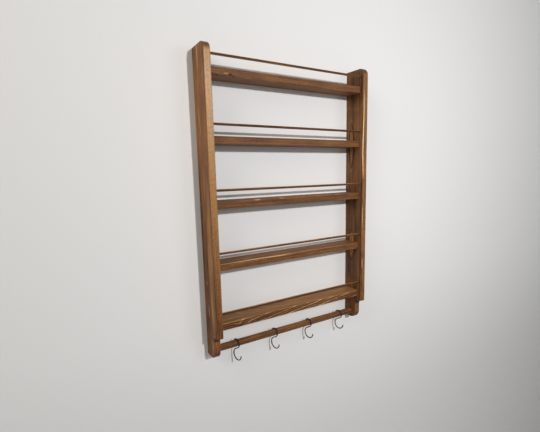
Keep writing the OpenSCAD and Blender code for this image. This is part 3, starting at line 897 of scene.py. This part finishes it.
class RACK_OT_hooks(bpy.types.Operator):
    """Black wire S-hooks on the mug rail"""

    bl_idname = "rack.hooks"
    bl_label = "S-Hooks"

    def path(self, sizes, centre, axis):
        """Points along a hook's wire: from behind the rail over it, down and round to its tip."""
        front = Vector((axis.y, -axis.x, 0.0))
        up = Vector((0.0, 0.0, 1.0))
        tilt = math.asin((sizes.upper_curl + sizes.lower_curl) / sizes.curl_span)
        drop = Vector((0.0, -sizes.curl_span))
        tip = sizes.wire_diameter / 2
        spacing = 0.4 * MM
        flat = []

        def arc(mid, radius, first, last):
            steps = max(2, math.ceil(abs(last - first) * radius / spacing))
            for k in range(steps + 1):
                a = first + (last - first) * k / steps
                flat.append(mid + Vector((math.cos(a), math.sin(a))) * radius)

        # Where the wire ends, round from the front of each curl, with a round tip past it
        upper_end = math.radians(195.0) + tip / sizes.upper_curl
        lower_end = math.radians(350.0) + tip / sizes.lower_curl
        arc(Vector((0.0, 0.0)), sizes.upper_curl, upper_end, -tilt)
        arc(drop, sizes.lower_curl, math.pi - tilt, lower_end)
        lean = Matrix.Rotation(sizes.hook_lean, 2)
        return [centre + front * p.x + up * p.y for p in (lean @ q for q in flat)]

    def execute(self, context):
        sizes = context.scene.rack_sizes
        tree = bent_wire_tree()
        values = {
            "Diameter": sizes.wire_diameter,
            "Step": 0.5 * MM,
            "Sides": 20,
            "Material": black_wire(),
        }
        joints = {j["name"]: j for j in frame["joints"]}
        for i in range(1, HOOKS + 1):
            joint = joints[f"hook_{i}_swing"]
            points = self.path(sizes, Vector(joint["pos_m"]), Vector(joint["axis"]))
            curve = bpy.data.curves.new(f"hook path {i}", "CURVE")
            curve.dimensions = "3D"
            spline = curve.splines.new("POLY")
            spline.points.add(len(points) - 1)
            for spot, point in zip(spline.points, points):
                spot.co = (*point, 1.0)
            hook = grow(f"wire_hook_{i}", curve, tree, values)
            stand_for(hook, f"s_hook_{i}", f"hook_{i}")
        return {"FINISHED"}


class RACK_OT_hangers(bpy.types.Operator):
    """Zinc-plated keyhole plates and their screws in the boards' back edges"""

    bl_idname = "rack.hangers"
    bl_label = "Keyhole Plates"

    def screw(self, sizes):
        """One screw driven towards -Y, its head at Y 0, with a rolled thread."""
        head, shank = sizes.screw_head / 2, sizes.screw_diameter / 2
        core = shank * 0.72
        length = sizes.screw_length
        sides = 24
        pitch = 1.2 * MM
        point = 3.0 * MM
        # Depths of the head's face and rim and of its cone's end, then of the thread
        face, rim, neck = 0.1 * MM, 0.25 * MM, 1.6 * MM
        depths = [face, rim, neck]
        depth = neck + 0.9 * MM
        while depth < length - 0.3 * MM:
            depths.append(depth)
            depth += pitch / 6
        rings = []
        for d in depths:
            ring = []
            for k in range(sides):
                a = math.tau * k / sides
                if d <= face:
                    r = head * 0.97
                elif d < neck:
                    r = head + (core - head) * (d - rim) / (neck - rim)
                elif d == neck:
                    r = core
                else:
                    turn = (d / pitch - k / sides) % 1.0
                    crest = max(0.0, 1.0 - abs(turn - 0.5) * 4.0)
                    taper = min(1.0, max(0.08, (length - d) / point))
                    r = (core + (shank - core) * crest) * taper
                ring.append((r * math.cos(a), -d, r * math.sin(a)))
            rings.append(ring)
        points = [p for ring in rings for p in ring] + [(0.0, -face, 0.0), (0.0, -length, 0.0)]
        top, end = len(points) - 2, len(points) - 1
        last = (len(rings) - 1) * sides
        faces = []
        for n in range(0, last, sides):
            for k in range(sides):
                j = (k + 1) % sides
                faces.append((n + k, n + j, n + sides + j, n + sides + k))
        for k in range(sides):
            j = (k + 1) % sides
            faces.append((top, j, k))
            faces.append((end, last + k, last + j))
        mesh = bpy.data.meshes.new("plate screw")
        mesh.from_pydata(points, [], faces)
        return mesh

    def execute(self, context):
        sizes = context.scene.rack_sizes
        zinc = zinc_plate()
        tree = screws_tree()
        one = bpy.data.objects.new("plate screw", self.screw(sizes))
        context.scene.collection.objects.link(one)
        inset = sizes.screw_head / 2
        for side in SIDES:
            repaint(f"keyhole_plate_{side}", zinc)
            node = f"plate_screws_{side}"
            low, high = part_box(node)
            x = (low.x + high.x) / 2
            places = points_mesh("screw places", [(x, 0.0, low.z + inset), (x, 0.0, high.z - inset)])
            values = {"Screw": one, "Seed": 3 + SIDES.index(side), "Material": zinc}
            screws = grow(f"threaded_{node}", places, tree, values)
            smooth_by_angle(screws)
            stand_for(screws, node, "rack")
        bpy.data.objects.remove(one)
        return {"FINISHED"}


class RACK_OT_stage(bpy.types.Operator):
    """A pale wall and floor, soft light and the camera"""

    bl_idname = "rack.stage"
    bl_label = "Stage"

    def plane(self, name, corners, material):
        """A flat piece of the stage."""
        mesh = bpy.data.meshes.new(name)
        mesh.from_pydata(corners, [], [(0, 1, 2, 3)])
        mesh.materials.append(material)
        piece = bpy.data.objects.new(name, mesh)
        bpy.context.scene.collection.objects.link(piece)

    def wall_paint(self, base):
        """Matt emulsion with a fine roller texture, not there when seen from behind."""
        material, tree, shader = new_material("Matt wall paint")
        stipple = mottle(tree, millimetres(tree), (2.2, 2.2, 2.2), detail=3.0)
        relief = add(tree, "ShaderNodeBump", {"Height": stipple, "Strength": 0.25, "Distance": 0.2 * MM})
        # Painted shade: the wall is made a little darker toward the floor, in place of the lamps'
        # falloff
        place = add(tree, "ShaderNodeTexCoord").outputs["Object"]
        height = add(tree, "ShaderNodeSeparateXYZ", {0: place}).outputs["Z"]
        low = add(tree, MAP_RANGE, {"Value": height, "From Min": -0.62, "From Max": -1.1})
        paint = add(tree, RAMP, {"Fac": low}, ((0.0, base), (1.0, scaled(base, 0.9))))
        fill(tree, shader, {"Base Color": paint, "Normal": relief})
        fill(tree, shader, {"Roughness": 0.85, "Specular IOR Level": 0.2})
        # Clear from behind, and to rays that start between it and the rack's back
        side = add(tree, "ShaderNodeNewGeometry").outputs["Backfacing"]
        ray = add(tree, "ShaderNodeLightPath").outputs["Ray Length"]
        close = add(tree, MATH, {0: ray, 1: 1.5 * MM}, operation="LESS_THAN")
        hidden = add(tree, MATH, {0: side, 1: close}, operation="MAXIMUM")
        clear = add(tree, "ShaderNodeBsdfTransparent")
        mixed = add(tree, "ShaderNodeMixShader", {0: hidden, 1: shader, 2: clear})
        out = next(n for n in tree.nodes if n.type == "OUTPUT_MATERIAL")
        fill(tree, out, {"Surface": mixed})
        return material

    def floor_paint(self, base):
        """Plain pale matt floor."""
        material, tree, shader = new_material("Pale matt floor")
        cloud = mottle(tree, millimetres(tree), (400.0, 400.0, 400.0))
        stops = ((0.3, scaled(base, 0.96)), (0.7, base))
        paint = add(tree, RAMP, {"Fac": cloud}, stops)
        fill(tree, shader, {"Base Color": paint, "Roughness": 0.7})
        return material

    def lamp(self, name, place, target, size, spread, watts, tint):
        """A round soft lamp that faces a point."""
        data = bpy.data.lights.new(name, "AREA")
        data.shape = "DISK"
        data.size = size
        data.spread = math.radians(spread)
        data.energy = watts
        data.color = tint
        piece = bpy.data.objects.new(name, data)
        piece.location = place
        piece.rotation_euler = (Vector(target) - Vector(place)).to_track_quat("-Z", "Y").to_euler()
        bpy.context.scene.collection.objects.link(piece)

    def rear_sun(self, scene):
        """A sun from behind that the wall doesn't hold back, for the rack's back."""
        data = bpy.data.lights.new("rear", "SUN")
        data.energy = 2.0
        data.angle = math.radians(1)
        rear = bpy.data.objects.new("rear", data)
        rear.visible_glossy = False
        rear.rotation_euler = Vector((0.0, -1.0, 0.0)).to_track_quat("-Z", "Y").to_euler()
        scene.collection.objects.link(rear)
        blockers = bpy.data.collections.new("rear shadows")
        blockers.objects.link(bpy.data.objects["wall"])
        rear.light_linking.blocker_collection = blockers
        blockers.collection_objects[0].light_linking.link_state = "EXCLUDE"

    def surroundings(self, scene):
        """A dim even fill, and a plain grey where the camera and reflections look past the wall."""
        world = bpy.data.worlds.new("studio")
        world.use_nodes = True
        tree = world.node_tree
        tree.nodes.clear()
        ray = add(tree, "ShaderNodeLightPath").outputs
        shown = add(tree, MATH, {0: ray["Is Camera Ray"], 1: ray["Is Glossy Ray"]}, operation="MAXIMUM")
        shown = add(tree, MATH, {0: shown, 1: ray["Is Transmission Ray"]}, operation="MAXIMUM")
        glow = add(tree, "ShaderNodeBackground", {"Color": srgb("#f4f5f6"), "Strength": 0.13})
        drop = add(tree, "ShaderNodeBackground", {"Color": srgb("#b0b0ae"), "Strength": 1.0})
        mixed = add(tree, "ShaderNodeMixShader", {0: shown, 1: glow, 2: drop})
        add(tree, "ShaderNodeOutputWorld", {"Surface": mixed})
        scene.world = world

    def camera(self, scene):
        """The camera at the photograph's viewing angle."""
        data = bpy.data.cameras.new("camera")
        data.lens = CAMERA_LENS
        data.shift_x, data.shift_y = CAMERA_SHIFT
        camera = bpy.data.objects.new("camera", data)
        right = Vector(CAMERA_RIGHT).normalized()
        back = Vector(CAMERA_BACK).normalized()
        up = back.cross(right).normalized()
        right = up.cross(back).normalized()
        turn = Matrix((right, up, back)).transposed().to_4x4()
        camera.matrix_world = Matrix.Translation(CAMERA_PLACE) @ turn
        scene.collection.objects.link(camera)
        scene.camera = camera

    def execute(self, context):
        scene = context.scene
        c = scene.rack_colours
        outline = ((-HALF_WIDTH, 0), (HALF_WIDTH, 0), (HALF_WIDTH, 1), (-HALF_WIDTH, 1))
        wall = [(x, WALL_Y, (FLOOR_Z, WALL_TOP)[k]) for x, k in outline]
        floor = [(x, FLOOR_Y[k], FLOOR_Z) for x, k in outline]
        self.plane("wall", wall, self.wall_paint(c.wall))
        self.plane("floor", floor, self.floor_paint(c.floor))
        for lamp in LAMPS:
            self.lamp(*lamp)
        self.rear_sun(scene)
        self.surroundings(scene)
        self.camera(scene)
        scene.view_settings.view_transform = "Standard"
        return {"FINISHED"}


class RACK_PT_panel(bpy.types.Panel):
    bl_label = "Spice Rack"
    bl_idname = "RACK_PT_panel"
    bl_space_type = "VIEW_3D"
    bl_region_type = "UI"
    bl_category = "Spice Rack"

    def draw(self, context):
        for operator in OPERATORS:
            self.layout.operator(operator.bl_idname)
        for group in (context.scene.rack_sizes, context.scene.rack_colours):
            for name in group.__annotations__:
                self.layout.prop(group, name)


OPERATORS = (
    RACK_OT_side_boards,
    RACK_OT_shelves,
    RACK_OT_shelf_pins,
    RACK_OT_rails,
    RACK_OT_hooks,
    RACK_OT_hangers,
    RACK_OT_stage,
)
CLASSES = (RackSizes, RackColours, *OPERATORS, RACK_PT_panel)


def register():
    for cls in CLASSES:
        bpy.utils.register_class(cls)
    bpy.types.Scene.rack_sizes = bpy.props.PointerProperty(type=RackSizes)
    bpy.types.Scene.rack_colours = bpy.props.PointerProperty(type=RackColours)


def unregister():
    del bpy.types.Scene.rack_colours
    del bpy.types.Scene.rack_sizes
    for cls in reversed(CLASSES):
        bpy.utils.unregister_class(cls)


def main():
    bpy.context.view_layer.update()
    register()
    bpy.ops.rack.stage()
    bpy.ops.rack.side_boards()
    bpy.ops.rack.shelves()
    bpy.ops.rack.shelf_pins()
    bpy.ops.rack.rails()
    bpy.ops.rack.hooks()
    bpy.ops.rack.hangers()


if __name__ == "__main__":
    main()
